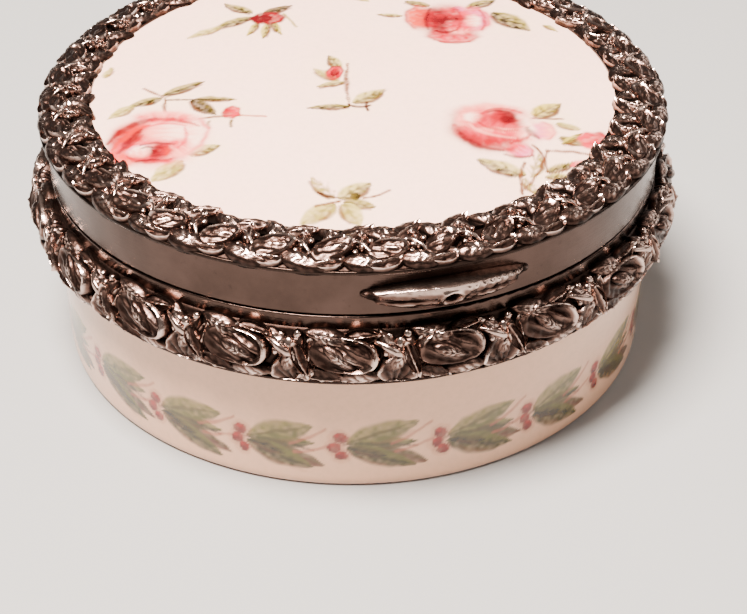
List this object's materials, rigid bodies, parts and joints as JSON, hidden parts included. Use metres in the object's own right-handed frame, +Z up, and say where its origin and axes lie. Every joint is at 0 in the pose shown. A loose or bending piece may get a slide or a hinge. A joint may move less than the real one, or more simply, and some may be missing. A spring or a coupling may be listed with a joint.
{
  "type": "trinket box",
  "caption": "Round hinged trinket box with a white porcelain bowl, a porcelain plaque in the lid, and silvered metal mounts with cast leaf garlands and a front thumbpiece.",
  "frame": {"origin": "centre of the foot, on the surface that the box stands on", "axes": "+Z up through the lid; -Y is the front with the thumbpiece; +Y is the hinge"},
  "size_m": [0.0682, 0.0682, 0.0278],
  "materials": {
    "porcelain": "gloss white glaze with painted roses and berries",
    "plain_silver": "worn silver plate, smooth",
    "inner_silver": "silver plate, less worn",
    "cast_silver": "worn cast silver plate with dark recesses",
    "cement": "matt bedding cement"
  },
  "bodies": {
    "base": {"base_bowl": "porcelain", "collar_cement": "cement", "base_collar": "plain_silver", "base_edging": "plain_silver", "base_garland": "cast_silver", "base_rim": "plain_silver", "base_bezel": "inner_silver", "base_hinge_leaf": "plain_silver", "hinge_pin": "plain_silver"},
    "lid": {"lid_band": "plain_silver", "lid_flange": "plain_silver", "plaque_bedding": "cement", "lid_plaque": "porcelain", "plaque_setting": "plain_silver", "lid_garland": "cast_silver", "lid_hinge_leaf": "plain_silver", "thumbpiece": "cast_silver"}
  },
  "joints": [
    {"name": "lid_hinge", "type": "hinge", "parent": "base", "child": "lid", "pos_m": [0, 0.03275, 0.0208], "axis": [-1, 0, 0], "range_deg": [0, 105]}
  ]
}
